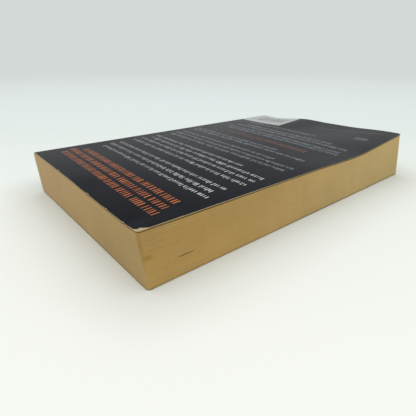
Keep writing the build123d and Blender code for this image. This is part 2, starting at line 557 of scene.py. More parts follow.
def aged_paper(colours):
    """Browned edges of the leaves, streaked along each leaf, and the first leaf's face, with
    painted shade by the deep value and painted light low on the fore edge.
    """
    finish = Finish("aged_paper", 0.85, 0.18)
    leaf, fore, page, deep = (finish.value(name) for name in ("leaf", "fore", "page", "deep"))
    x, y, z = (finish.axis(name) for name in "XYZ")
    along, level = x + y, leaf * SPINE_THICKNESS
    fine = finish.node("CombineXYZ", (along * 9.0, 0.0, level * 5200.0))
    fine = finish.noise(1.0, 4.0, 0.7, fine)
    broad = finish.node("CombineXYZ", (along * 14.0, 5.0, level * 900.0))
    broad = finish.noise(1.0, 3.0, 0.6, broad)
    blotch = finish.noise(42.0)
    upright = finish.noise(1.0, places=finish.stretched(170.0, 170.0, 22.0))
    speck = finish.noise(900.0, 2.0, 0.6)
    head = finish.fade(x, 45 * MM, -45 * MM)
    head = finish.mix(head, colours.head_edge[:], colours.head_far[:])
    tail = finish.fade(y, -85 * MM, 70 * MM)
    tail = finish.mix(tail, colours.fore_edge[:], colours.fore_far[:])
    # the two meet unevenly along the upright corner
    turn = fore * (1.0 - fore) * ((finish.noise(330.0, 2.0, 0.5) - 0.5) * 6.0)
    colour = finish.mix(finish.math("ADD", fore, turn, clamp=True), head, tail)
    # leaf streaks show at the fore edge, and hardly at the head and tail
    streak = (fine - 0.5) * finish.fade(fore, 0.0, 1.0, 0.08, 0.18)
    band, cloud = (broad - 0.5) * 0.10, (blotch - 0.5) * 0.26
    grain, column = (speck - 0.5) * 0.12, (upright - 0.5) * 0.10
    # painted light: the fore edge is made up to a tenth lighter near its foot, less of it towards
    # the tail
    foot = finish.fade(z, 14 * MM, 1 * MM, 0.0, 0.10) * fore
    foot = foot * finish.fade(y, -45 * MM, 25 * MM, 1.0, 0.0)
    amount = (streak + band) + (cloud + grain) + column + 1.0 + foot
    # pale leaves low down near the near corner, and a few near the top
    low = finish.spot((0, -81 * MM, 2.6 * MM), (0, 13 * MM, 2.4 * MM))
    high = finish.spot((0, -79 * MM, 18.6 * MM), (0, 15 * MM, 2.0 * MM))
    pale = (low + high) * finish.fade(fine, 0.53, 0.62) * 0.6
    # the rubbed upright corner, and a brown spot
    corner = finish.spot((0, -88.4 * MM, 14.5 * MM), (0, 0.9 * MM, 8 * MM))
    corner = corner * finish.fade(fore, 0.1, 0.5) * 0.55
    mark = finish.spot((0, -86.7 * MM, 10.5 * MM), (0, 2.3 * MM, 1.0 * MM))
    mark = mark * finish.fade(finish.noise(420.0), 0.25, 0.5, 0.45, 1.0) * fore
    mark = finish.math("MULTIPLY", mark, 0.85, clamp=True)
    face = finish.shaded(colours.page[:], blotch * 0.2 + 0.9)
    # the last layer, the shade colour by the deep value, is painted shade under the covers' edges
    # and in the slit, with some dirt in the partings
    for share, layer in (
        (pale, colours.pale_leaf[:]), (corner, colours.rubbed_leaf[:]), (mark, colours.stain[:]),
        (page, face), (deep, colours.shade[:]),
    ):
        colour = finish.mix(share, colour, layer)
    rough = finish.fade(blotch, 0.3, 0.7, 0.78, 0.92)
    return finish.done(
        finish.shaded(colour, amount), rough, fine * 0.7 + speck * 0.3, 0.02 * MM, 0.4
    )


def laminate(colours):
    """Black laminated face, rubbed bare where the wear value says."""
    finish = Finish("black_laminate", 0.5, 0.025)
    x, y = finish.axis("X"), finish.axis("Y")
    fibre = finish.noise(1500.0, 3.0, 0.6)
    smudge = finish.noise(28.0, 4.0, 0.6)
    scratch = finish.noise(1.0, 4.0, 0.7, finish.stretched(60.0, 900.0, 60.0))
    bare = finish.fade(finish.value("wear") + (fibre - 0.5) * 0.35, 0.42, 0.58)
    black = finish.shaded(colours.laminate[:], finish.fade(smudge, 0.25, 0.75, 0.85, 1.2))
    black = finish.mix(finish.fade(scratch, 0.66, 0.78) * 0.03, black, colours.scratch[:])
    # scuffing and painted reflection, a lighter grey where the corner curls up and in the hollow
    # before it
    curled = finish.fade(y, 48 * MM, 80 * MM) * finish.fade(x, -30 * MM, 12 * MM)
    curled = curled + finish.spot((27 * MM, 52 * MM, 0), (52 * MM, 24 * MM, 0)) * 0.85
    curled = curled * finish.fade(smudge, 0.2, 0.8, 0.09, 0.14)
    black = finish.mix(curled, black, colours.scuff_and_reflection[:])
    # faint bend in the card, at a slant to the tail edge
    bend = finish.math("ABSOLUTE", y - x * 0.14 - 74.9 * MM)
    ends = finish.fade(x, -4 * MM, 16 * MM) * finish.fade(x, 40 * MM, 52 * MM, 1.0, 0.0)
    bend = finish.fade(bend, 0.0, 0.9 * MM, 1.0, 0.0) * ends * 0.18
    black = finish.mix(bend, black, colours.bend[:])
    card = finish.shaded(colours.raw_card[:], finish.fade(fibre, 0.2, 0.8, 0.85, 1.12))
    sheen = finish.fade(smudge, 0.3, 0.7, 0.24, 0.31)
    rough = finish.node("Mix", {0: bare, 2: sheen, 3: 0.9})
    height = finish.noise(420.0, 2.0, 0.5) * 0.4 + fibre * bare
    return finish.done(finish.mix(bare, black, card), rough, height, 0.012 * MM, 0.6)


def raw_card(colours):
    """Uncoated inside of the cover, and its cut edges, which are darker towards the tail."""
    finish = Finish("raw_card", 0.88, 0.2)
    fibre = finish.noise(800.0, 4.0, 0.65)
    cloud = finish.noise(35.0, 3.0, 0.5)
    amount = finish.fade(fibre, 0.25, 0.75, 0.88, 1.06) + finish.fade(cloud, 0.3, 0.7, -0.06, 0.05)
    rubbed = finish.fade(finish.value("wear"), 0.0, 0.6)
    tail_darkening = finish.fade(finish.axis("Y"), -40 * MM, 10 * MM, 1.0, 0.7)
    colour = finish.mix(rubbed, colours.raw_card[:], finish.shaded(colours.rubbed_edge[:], tail_darkening))
    rough = finish.fade(cloud, 0.3, 0.7, 0.82, 0.94)
    return finish.done(finish.shaded(colour, amount), rough, fibre, 0.02 * MM, 0.6)


def hot_melt(colours):
    finish = Finish("hot_melt_glue", 0.42, 0.4)
    cloud = finish.noise(120.0)
    colour = finish.shaded(colours.glue[:], finish.fade(cloud, 0.3, 0.7, 0.88, 1.06))
    rough = finish.fade(cloud, 0.3, 0.7, 0.36, 0.55)
    return finish.done(colour, rough, finish.noise(650.0, 2.0), 0.03 * MM, 0.5)


def ink(name, colour, fading, far=1.0):
    """Printed colour under the laminate, a little uneven, and duller towards the spine."""
    finish = Finish(name, 0.5, 0.05)
    smudge = finish.noise(28.0, 4.0, 0.6)
    speck = finish.noise(1400.0, 2.0, 0.6)
    amount = finish.fade(speck, 0.3, 0.7, -0.1, 0.08)
    amount = amount + finish.fade(smudge, 0.3, 0.7, 1.0 - fading, 1.0)
    amount = amount * finish.fade(finish.axis("X"), -30 * MM, 48 * MM, far, 1.0)
    rough = finish.fade(smudge, 0.3, 0.7, 0.26, 0.34)
    relief = finish.noise(420.0, 2.0, 0.5)
    return finish.done(finish.shaded(colour, amount), rough, relief, 0.006 * MM, 0.5)


class PAPERBACK_OT_leaf_block(bpy.types.Operator):
    """Block of leaves with its streaked edges, partings, slit and curled tail"""

    bl_idname = "paperback.leaf_block"
    bl_label = "Leaf block"

    def execute(self, context):
        sizes = context.scene.paperback_sizes
        end = HALF_HEIGHT - LEAF_INSET
        corner = sizes.leaf_corner
        widest = corner * 2
        across = stations(0.0, (0.012, 2), (0.05, 2), (0.95, 30), (1 - 0.017, 4), (1.0, 9))
        along = stations(
            -end, (-end + widest, 8), (-80 * MM, 7), (-66 * MM, 26), (CURL_START_Y, 36),
            (end - widest, 18), (end, 8),
        )
        counts = (len(across) - 1, len(along) - 1, LEAVES)
        piece = cut_block("leaf_block", ((counts[0],), (counts[1],), (16, LEAVES // 16)))
        unit = points_of(piece)
        ix, iy, row = (place_index(unit[:, k], count) for k, count in enumerate(counts))
        share, y, leaf = across[ix], along[iy], row / LEAVES
        side = np.sign(y)
        fore_rim, end_rim = ix == counts[0], (iy == 0) | (iy == counts[1])
        on_rim = fore_rim | end_rim
        outer_leaf = (row == 0) | (row == LEAVES)

        # lean, taper and curl, with rounded shoulders beside the spine
        back = SPINE_X + (CARD + SPINE_GLUE) * ACROSS
        shoulder = SHOULDER_RADIUS - CARD - SIDE_GLUE
        z = CARD + leaf * (SPINE_THICKNESS - 2 * CARD)
        for _ in range(3):
            deep = np.minimum(leaf, 1 - leaf) * (SPINE_THICKNESS - 2 * CARD)
            inside = np.clip(shoulder - deep, 0.0, shoulder)
            rounding = shoulder - np.sqrt(shoulder**2 - inside**2)
            start = back - SLIP * z + rounding
            x = start + share * (leaves_fore(y, z, leaf) - start)
            z = LEAVES_BOTTOM + leaf * (leaves_top(x, y) - LEAVES_BOTTOM)

        # edges of the leaves, in and out
        rows = np.arange(LEAVES + 1)
        draw = random.Random(11)
        single = np.array([draw.uniform(-1, 1) for _ in rows])[row]
        bunch = wander(rows * 0.12, 5, 5, 0.75)[row]
        drift = wander(y / MM * 0.05 + row * 0.35, 21, 3)
        swell = wander(y / MM * 0.035 + bunch * 3, 8, 3)
        stand = sizes.leaf_relief * single * (0.7 + 0.3 * drift)
        stand = stand + sizes.bunch_relief * (bunch * 0.6 + 0.4 * swell - 1.0)
        spread = (k + 0.5 + 0.3 * math.sin(2.4 * k) for k in range(PARTINGS))
        parting = np.isin(row, [round(place / PARTINGS * LEAVES) for place in spread])
        open_share = smoothstep(-0.35, 0.55, wander(y / MM * 0.06 + row * 1.9, 33, 3))
        stand = stand - parting * (0.015 + 0.045 * open_share) * MM
        stand = np.where(outer_leaf, -0.02 * MM, stand)

        # upright corners, rubbed rounder near the top
        fore = leaves_fore(y, z, leaf)
        corner = corner * (1 + leaf * leaf + 0.4 * (1 - leaf) ** 6)
        cx, cy = x - (fore - corner), np.abs(y) - (end - corner)
        rx, ry = rounded_corner(cx, cy, corner)
        square_x, square_y = np.clip(cx, 0, None) ** 2, np.clip(cy, 0, None) ** 2
        turned = square_x / np.maximum(square_x + square_y, 1e-18)
        fore_share = np.where((cx > 0) & (cy > 0), turned, fore_rim.astype(float))
        x = fore - corner + rx + np.where(fore_rim, stand, 0.0)
        y = side * (end - corner + ry) + np.where(end_rim, side * stand * HEAD_RELIEF, 0.0)

        # slit standing open at the fore edge
        slit_level = (SLIT_LEVEL - SLIT_DROP - CARD) / (FORE_THICKNESS - 2 * CARD)
        off = row - round(slit_level * LEAVES)
        near = np.sqrt(np.clip(1 - ((y - SLIT_Y) / (SLIT_LENGTH / 2)) ** 2, 0.0, 1.0))
        opening = near * (ix >= counts[0] - SLIT_COLUMNS)
        gap = np.sign(off) * SLIT_OPENING * opening
        z = z + gap * np.exp(-np.maximum(np.abs(off) - 1, 0) / 6.0)
        x = np.where((off == 0) & fore_rim, x - SLIT_DEPTH * near, x)

        set_points(piece, x, y, z)
        set_values(piece, "leaf", leaf)
        set_values(piece, "fore", fore_share)
        inwards = np.clip(np.minimum(fore - x, end - np.abs(y)), 0, None)
        page = np.where(on_rim, 0.0, 1 - np.exp(-inwards / (3.5 * MM)))
        set_values(piece, "page", np.where(outer_leaf, page, 0.0))
        # painted shade under the covers' edges, less of it towards the tail, and in the slit; in
        # the partings it is painted shade with some dirt
        painted_rim_shade = np.exp(-((inwards / (0.9 * MM)) ** 2))
        fading = 1 - 0.75 * smoothstep(-66 * MM, -28 * MM, y) * fore_share
        overhang = 4 * fore_share * stand_back(y, 1.0) / STAND_BACK
        below = LEAVES - row
        under = 0.85 * (1 - smoothstep(overhang, overhang + 2.5, below))
        deep = np.where(row == LEAVES, 0.95 * painted_rim_shade, 0.0)
        deep = np.where(on_rim & (below > 0), under, deep) * fading
        deep = np.where(row == 0, 0.2 * painted_rim_shade, deep)
        deep = np.where(parting & on_rim, 0.02 + 0.10 * open_share * fore_share, deep)
        painted_slit_shade = np.array((0.88, 0.34, 0.0))[np.minimum(np.abs(off), 2)] * opening
        set_values(piece, "deep", np.maximum(deep, painted_slit_shade))
        shade_smooth(piece, 60)
        piece.data.materials.append(aged_paper(context.scene.paperback_colours))
        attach(piece, "book")
        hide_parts("page_block")
        return {"FINISHED"}


class PAPERBACK_OT_binding_glue(bpy.types.Operator):
    """Hot-melt finish on the glue behind the leaves"""

    bl_idname = "paperback.binding_glue"
    bl_label = "Binding glue"

    def execute(self, context):
        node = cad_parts["binding_glue"]
        node.data.materials.clear()
        node.data.materials.append(hot_melt(context.scene.paperback_colours))
        return {"FINISHED"}


def edge_loss(along, seed, inwards):
    """Nibbled edge of the card: how far it has worn back, and less further in."""
    loss = (0.03 + 0.03 * wander(along / MM * 0.9, seed, 5, 0.8)) * MM
    return loss * smoothstep(WEAR_REACH, 0.0, inwards)


PEEL_LENGTH, PEEL_WIDTH = 4.9 * MM, 1.7 * MM  # the back cover's peeled near corner
# Small bites out of the back cover's head edge, in mm: centre, half width and depth
HEAD_NICKS = ((-17.5, 0.9, 0.30), (15.0, 1.1, 0.34), (31.0, 0.8, 0.26), (44.0, 0.7, 0.22))


def nicks(x):
    total = np.zeros_like(x)
    for centre, half_width, depth in HEAD_NICKS:
        off = np.abs(x - centre * MM) / (half_width * MM)
        total = np.maximum(total, depth * MM * np.clip(1 - off**2, 0.0, 1.0))
    return total


def groove(x, crease):
    """Scored line along a crease."""
    return np.maximum(0.0, SCORE - np.abs(x - crease))


def back_surface(x, y):
    """Height of the back cover's outer face, with its curl, its scored crease and a ripple
    away from its edges and its crease."""
    calm = smoothstep(0.0, 6 * MM, fore_edge_x(y) - x)
    calm = calm * smoothstep(0.0, 6 * MM, HALF_HEIGHT - np.abs(y))
    calm = calm * smoothstep(UPPER_CREASE_X + 1 * MM, UPPER_CREASE_X + 8 * MM, x)
    ripple = wander(x / MM * 0.045 + 2, 51, 3) * wander(y / MM * 0.04, 52, 3)
    return cover_face(x) + lift(x, y) - groove(x, UPPER_CREASE_X) + RIPPLE * calm * ripple


def cover_places(crease):
    """Places across a cover, close together at its crease and its fore edge, and along it."""
    width, end = FORE_X - LOWER_CREASE_X, HALF_HEIGHT
    across = stations(
        -FOLD_REACH, (FOLD_REACH, 20), (4 * MM, 4), (width - 9 * MM, 80), (width - 1.6 * MM, 22),
        (width - 0.4 * MM, 6), (width, 4),
    )
    along = stations(
        -end, (-end + 0.4 * MM, 4), (-end + 1.6 * MM, 6), (-end + 9 * MM, 22),
        (end - 3 * MM, 124), (end - 0.4 * MM, 6), (end, 4),
    )
    return across + crease, along


def wear_along(width, along, seed):
    """Width of the bare line at an edge, uneven along it."""
    return width * (0.75 + 0.75 * wander(along / MM * 0.33, seed, 6, 0.85))


def bare(reach, distance, softness=0.5 * MM):
    """Above 0.5 nearer than the reach, below 0.5 further in."""
    return 0.5 + (reach - distance) / softness


def round_card(x, y, fore, radius):
    """Rounds a cover's corners, and says how far in from its fore edge, from its head or tail
    and from the nearest of them each point is."""
    rx, ry = rounded_corner(x - (fore - radius), np.abs(y) - (HALF_HEIGHT - radius), radius)
    x = fore - radius + rx
    y = np.sign(y) * (HALF_HEIGHT - radius + ry)
    from_fore, from_side = fore - x, HALF_HEIGHT - np.abs(y)
    ux, uy = np.clip(radius - from_fore, 0, None), np.clip(radius - from_side, 0, None)
    nearest = np.minimum(from_fore, from_side)
    inwards = np.where((ux > 0) & (uy > 0), radius - np.hypot(ux, uy), nearest)
    return x, y, from_fore, from_side, inwards


def dress_card(piece, places, wear, inside, colours):
    """Puts a card in its place and gives it its wear, thickness and two faces."""
    set_points(piece, *places)
    set_values(piece, "wear", np.clip(wear, 0.0, 1.0))
    turn_outwards(piece, inside)
    piece.data.materials.append(laminate(colours))
    piece.data.materials.append(raw_card(colours))
    make_solid(piece, CARD, CARD_RIM)
    shade_smooth(piece, 40)


class PAPERBACK_OT_back_cover(bpy.types.Operator):
    """Back cover with its curled tail, rubbed edges and peeled corner"""

    bl_idname = "paperback.back_cover"
    bl_label = "Back cover"

    def execute(self, context):
        sizes = context.scene.paperback_sizes
        piece, x, y = cut_sheet("back_card", *cover_places(UPPER_CREASE_X))
        share = (x - UPPER_CREASE_X) / (FORE_X - LOWER_CREASE_X)
        fore = fore_edge_x(y)
        fore = fore + sway(y, cover_face(fore) + lift(fore, y))
        stretched = UPPER_CREASE_X + share * (fore - UPPER_CREASE_X)
        x = np.where(x > UPPER_CREASE_X + FOLD_REACH, stretched, x)
        radius = sizes.card_corner * np.where(y > 0, 0.65, 1.0)
        x, y, from_fore, from_side, inwards = round_card(x, y, fore, radius)

        # nibbled outline
        head = y < 0
        nicked = nicks(x) * smoothstep(WEAR_REACH, 0.0, from_side)
        head_loss, tail_loss = edge_loss(x, 4, from_side) + nicked, edge_loss(x, 6, from_side)
        x = x - edge_loss(y, 3, from_fore)
        y = y - np.sign(y) * np.where(head, head_loss, tail_loss)

        # bare line along the edges, and the peeled near corner
        from_head = y + HALF_HEIGHT
        line_fore = wear_along(sizes.edge_wear, y, 14)
        line_fore = line_fore * (1 - 0.7 * smoothstep(-40 * MM, 10 * MM, y))
        line_head = wear_along(sizes.edge_wear, x, 15) * 0.9 + nicks(x) * 0.6
        line_tail = wear_along(sizes.edge_wear, x, 16) * 0.8
        line = np.where(from_fore < from_side, line_fore, np.where(head, line_head, line_tail))
        depth = PEEL_WIDTH * smoothstep(PEEL_LENGTH, PEEL_WIDTH, from_head)
        depth = depth * (1 + 0.16 * wander(from_head / MM * 1.6, 9, 4))
        peel = np.where(from_head < 7 * MM, bare(np.maximum(depth, 0), from_fore), 0.0)
        tip = bare(2.3 * MM, (from_fore + from_head) * 0.9)
        peel = np.clip(np.maximum(peel, np.where(from_head < 4 * MM, tip, 0.0)), 0.0, 1.0)
        tail_tip = bare(1.5 * MM, (from_fore + (HALF_HEIGHT - y)) * 0.9, 0.6 * MM)
        wear = np.maximum.reduce([bare(line, inwards), peel, tail_tip])

        # the peeled corner's card is thinner and crushed a little
        z = back_surface(x, y) - 0.05 * MM * smoothstep(0.35, 0.75, peel)
        z = z - 0.04 * MM * smoothstep(2.2 * MM, 0.0, from_fore + from_head)
        dress_card(piece, (x, y, z), wear, (0, 0, -1), context.scene.paperback_colours)
        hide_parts("back_cover")
        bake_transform(piece)
        return {"FINISHED"}


class PAPERBACK_OT_front_cover(bpy.types.Operator):
    """Front cover, flat under the leaves"""

    bl_idname = "paperback.front_cover"
    bl_label = "Front cover"

    def execute(self, context):
        sizes = context.scene.paperback_sizes
        piece, x, y = cut_sheet("front_card", *cover_places(LOWER_CREASE_X))
        radius = sizes.card_corner * 1.1
        x, y, from_fore, from_side, inwards = round_card(x, y, FORE_X, radius)
        x = x - edge_loss(y, 41, from_fore)
        y = y - np.sign(y) * edge_loss(x, 42, from_side)
        line = wear_along(sizes.edge_wear, np.where(from_fore < from_side, y, x), 43) * 0.8
        tips = bare(1.9 * MM, (from_fore + from_side) * 0.9, 0.6 * MM)
        wear = np.maximum(bare(line, inwards), tips)
        places = (x, y, groove(x, LOWER_CREASE_X))
        dress_card(piece, places, wear, (0, 0, 1), context.scene.paperback_colours)
        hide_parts("front_cover")
        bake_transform(piece)
        return {"FINISHED"}


def spine_outline():
    """Outside of the spine card in XZ, from the lower crease round to the upper one, with
    how far along it each point is."""
    top_x = (SPINE_X - SLIP * (SPINE_THICKNESS - TAPER * UPPER_SPINE_X)) / (1 + SLIP * TAPER)
    upper_x = UPPER_CREASE_X - FOLD_REACH
    lower = np.array((LOWER_CREASE_X - FOLD_REACH, 0.0))
    upper = np.array((upper_x, cover_face(upper_x)))
    route = [lower, np.array((SPINE_X, 0.0)), np.array((top_x, cover_face(top_x))), upper]
    arcs = []
    for before, corner, after in zip(route, route[1:], route[2:]):
        a, b = before - corner, after - corner
        a, b = a / np.linalg.norm(a), b / np.linalg.norm(b)
        half = math.acos(float(np.clip(a @ b, -1, 1))) / 2
        centre = corner + (a + b) / np.linalg.norm(a + b) * SHOULDER_RADIUS / math.sin(half)
        first = corner + a * SHOULDER_RADIUS / math.tan(half) - centre
        last = corner + b * SHOULDER_RADIUS / math.tan(half) - centre
        turn = math.atan2(first[0] * last[1] - first[1] * last[0], first @ last)
        angles = [turn * step / SHOULDER_STEPS for step in range(SHOULDER_STEPS + 1)]
        across = np.array((-first[1], first[0]))
        arcs.append([centre + math.cos(k) * first + math.sin(k) * across for k in angles])

    def straight(start, end, steps):
        return [start + (end - start) * k / steps for k in range(1, steps)]

    line = [lower, *straight(lower, arcs[0][0], STRIP_STEPS), *arcs[0]]
    line += [*straight(arcs[0][-1], arcs[1][0], WALL_STEPS), *arcs[1]]
    line += [*straight(arcs[1][-1], upper, STRIP_STEPS), upper]
    line = np.array(line)
    steps = np.hypot(*np.diff(line, axis=0).T)
    return line, np.concatenate([[0.0], np.cumsum(steps)])


class PAPERBACK_OT_spine(bpy.types.Operator):
    """Spine of the cover with its two glued strips"""

    bl_idname = "paperback.spine"
    bl_label = "Spine"

    def execute(self, context):
        sizes = context.scene.paperback_sizes
        line, run = spine_outline()
        end = HALF_HEIGHT
        ys = stations(
            -end, (-end + 0.4 * MM, 4), (-end + 4 * MM, 12), (end - 4 * MM, 110),
            (end - 0.4 * MM, 12), (end, 4),
        )
        piece, place, y = cut_sheet("spine_card", np.arange(len(line)), ys)
        x, z, along = line[place, 0], line[place, 1], run[place]
        from_end = HALF_HEIGHT - np.abs(y)
        middle = STRIP_STEPS + SHOULDER_STEPS // 2
        shoulder = np.minimum(np.abs(along - run[middle]), np.abs(along - run[-1 - middle]))
        # ends rubbed at the head and tail, most of all at the two shoulders
        worn = wear_along(sizes.edge_wear, along * 3, 61)
        worn = worn + 0.5 * MM * smoothstep(3 * MM, 0.0, shoulder)
        wear = np.maximum(bare(worn, from_end), bare(2.6 * MM, from_end + shoulder, 0.7 * MM))
        y = y - np.sign(y) * edge_loss(along, 62, from_end)
        inside = (0, 0, SPINE_THICKNESS / 2)
        dress_card(piece, (x, y, z), wear, inside, context.scene.paperback_colours)
        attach(piece, "book")
        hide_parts("cover_spine")
        return {"FINISHED"}


# Rows of print as plain upright bars, in mm: where their feet and tops are, and where a row
# starts near the fore edge and ends near the spine
HEADING_ROWS = (
    (-79.6, -76.2, 45.6, -48.0),
    (-74.3, -71.0, 43.8, -49.5),
    (-68.9, -65.5, 42.8, -46.5),
)
TEXT_ROWS = (
    (-57.8, -55.2, 46.4, -47.0),
    (-52.4, -49.8, 42.9, -49.0),
    (-47.0, -44.4, 44.6, -48.5),
    (-37.5, -34.9, 46.2, -49.0),
    (-32.0, -29.4, 45.7, -49.0),
    (-26.6, -24.0, 46.0, -46.0),
    (-21.1, -18.5, 27.7, -49.0),
)
GREY_ROWS = (
    (-11.1, -8.4, 44.6, -49.0),
    (-6.2, -3.5, 46.1, -49.0),
    (-0.8, 1.9, 30.0, -49.0),
    (8.6, 11.4, 41.2, -49.0),
    (13.2, 15.9, 20.0, -49.0),
)
DIM_ROWS = (
    (32.4, 35.0, 45.2, -40.0),
    (36.6, 39.2, 44.3, -44.0),
    (43.4, 46.2, 44.2, -42.0),
    (48.2, 50.8, 31.9, -38.0),
    (56.2, 58.8, 15.4, -40.0),
)
ORANGE_ROW = (22.4, 27.6, 31.6, -28.0)
SMALL_MARK = (65.0, 69.6, 44.4, 34.7)
PANEL_STRIPES = (71.0, 83.0, -23.0, -46.0)
PANEL_START, PANEL_NEAR, PANEL_FAR = 63.4, -18.2, -54.6  # its edges, in mm, beside the tail's
ROW_SLANT = 0.018  # the print lies a little askew on the cover
TALL_SHARE = 0.3  # part of a text row's bars that reach its full height
BAR_LEVELS = np.array((0.0, 0.3, 0.65, 1.0))  # levels of a bar's points, from its foot
# Widths of a bar and of a gap in mm, bars to a word, and the gap after a word
HEADING_WORDS = ((0.32, 0.68), (0.90, 1.60), (4, 8), 0.8)
TEXT_WORDS = ((0.22, 0.50), (0.60, 1.20), (3, 7), 0.7)
FAINT_WORDS = ((0.30, 0.55), (0.45, 0.90), (3, 8), 0.7)
MARK_WORDS = ((2.2, 2.6), (0.3, 0.35), (3, 3), 1.0)
# Piece, its rows and words, share of tall bars, colour, unevenness, and brightness at the spine
PRINT = (
    ("heading_bars", HEADING_ROWS, HEADING_WORDS, 1.0, "heading_ink", 0.12, 0.95),
    ("text_bars", TEXT_ROWS, TEXT_WORDS, TALL_SHARE, "text_ink", 0.14, 0.6),
    ("grey_bars", GREY_ROWS, FAINT_WORDS, TALL_SHARE, "grey_ink", 0.14, 1.0),
    ("dim_bars", DIM_ROWS, FAINT_WORDS, TALL_SHARE, "grey_ink", 0.14, 1.0),
    ("orange_bars", (ORANGE_ROW,), FAINT_WORDS, 1.0, "orange_ink", 0.2, 0.6),
    ("small_mark", (SMALL_MARK,), MARK_WORDS, 1.0, "mark_ink", 0.12, 1.0),
)


def bar_runs(draw, start, end, bar, gap, letters, word_gap):
    """Bars and gaps across a row, in words: the places where colour starts and stops."""
    edges, place = [], start
    while place > end + 1.5:
        for _ in range(draw.randint(*letters)):
            width = draw.uniform(*bar)
            if place - width < end:
                return edges
            edges += [place, place - width]
            place -= width + draw.uniform(*gap)
        place -= word_gap * draw.uniform(0.8, 1.3)
    return edges


def print_row(name, row, edges, height, draw=None, tall=1.0):
    """One row of bars lying on the back cover, of two heights and a little out of upright."""
    low_y, high_y, start = row[0] * MM, row[1] * MM, row[2] * MM
    piece, column, share = cut_sheet(name, np.arange(len(edges)), BAR_LEVELS)
    x, y = np.array(edges)[column] * MM, low_y + share * (high_y - low_y)
    slant = ROW_SLANT * (start - x) if draw else 0.0
    lean = np.array([draw.uniform(-0.14, 0.10) if draw else 0.0 for _ in edges])[column // 2]
    x = x + lean * (y - (low_y + high_y) / 2)
    y = y + slant
    set_points(piece, x, y, back_surface(x, y) + height)
    # every second column is a gap, and the shorter bars lose their top
    short = np.array([bool(draw) and draw.random() > tall for _ in edges])
    gaps = np.zeros(len(piece.data.polygons), dtype=bool)
    for k, polygon in enumerate(piece.data.polygons):
        owner = min(column[v] for v in polygon.vertices)
        top = min(share[v] for v in polygon.vertices) < 0.1
        gaps[k] = owner % 2 == 1 or (top and short[owner // 2])
    only(piece)
    bpy.context.tool_settings.mesh_select_mode = (False, False, True)
    select(piece.data, polygons=gaps)
    with editing():
        bpy.ops.mesh.delete(type="FACE")
    return piece


def lay_ink(piece, material, thickness):
    turn_outwards(piece, (0, 0, -1))
    piece.data.materials.append(material)
    make_solid(piece, thickness)


class PAPERBACK_OT_print(bpy.types.Operator):
    """Printed rows and the pale panel on the back cover, as plain shapes"""

    bl_idname = "paperback.print"
    bl_label = "Print"

    def execute(self, context):
        colours = context.scene.paperback_colours
        height = context.scene.paperback_sizes.ink_height
        sunk = height + 0.01 * MM  # the ink reaches this far into the card
        draw = random.Random(4)
        for name, rows, words, tall, colour, fading, far in PRINT:
            made = []
            for k, row in enumerate(rows):
                edges = bar_runs(draw, row[2], row[3], *words)
                made.append(print_row(f"{name}_{k}", row, edges, height, draw, tall))
            only(*made)
            if len(made) > 1:
                bpy.ops.object.join()
            piece = bpy.context.object
            piece.name = piece.data.name = name
            material = ink(name.replace("bars", "ink"), getattr(colours, colour)[:], fading, far)
            lay_ink(piece, material, sunk)
            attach(piece, "back_cover")

        xs = stations(
            PANEL_FAR * MM, (UPPER_CREASE_X - FOLD_REACH, 5), (UPPER_CREASE_X + FOLD_REACH, 20),
            (PANEL_NEAR * MM, 30),
        )
        ys = stations(PANEL_START * MM, (HALF_HEIGHT - 0.35 * MM, 22))
        panel, x, y = cut_sheet("pale_panel", xs, ys)
        set_points(panel, x, y, back_surface(x, y) + height)
        lay_ink(panel, ink("panel_ink", colours.panel_ink[:], 0.06), sunk)
        shade_smooth(panel, 40)
        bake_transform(panel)
        edges, place = [], PANEL_STRIPES[2]
        while place > PANEL_STRIPES[3]:
            width = draw.choice((0.25, 0.25, 0.5))
            edges += [place, place - width]
            place -= width + draw.choice((0.55, 0.8, 1.1))
        bars = print_row("panel_bars", PANEL_STRIPES, edges, height * 2)
        lay_ink(bars, ink("bar_ink", colours.stripe_ink[:], 0.1), height)
        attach(bars, "back_cover")
        return {"FINISHED"}


CAMERA_PLACE = (133.77 * MM, -128.76 * MM, 68.49 * MM)
CAMERA_YAW = math.radians(50.101)
CAMERA_PITCH = math.radians(24.91)
CAMERA_ROLL = math.radians(0.108)
PHOTO_WIDTH = 416
FOCAL_PIXELS = 335.02
SENSOR = 36.0
FLOOR_SIZE, FLOOR_DROP = 12, 0.05 * MM
FLOOR_STOPS = (-0.12, 0.14, 0.36, 1.4)  # along the camera's line over the floor
ROOM_BAND = ((0.235, 1.0), (0.32, 0.5), (0.41, 1.0))  # sine of the height angle, and its light
ROOM_SIDE = (-0.95, 0.25, 0.0)  # the room is lighter on this side
LAMP_PLACE, LAMP_SIZE, LAMP_POWER = (-0.30, 0.10, 1.00), 0.8, 1.1


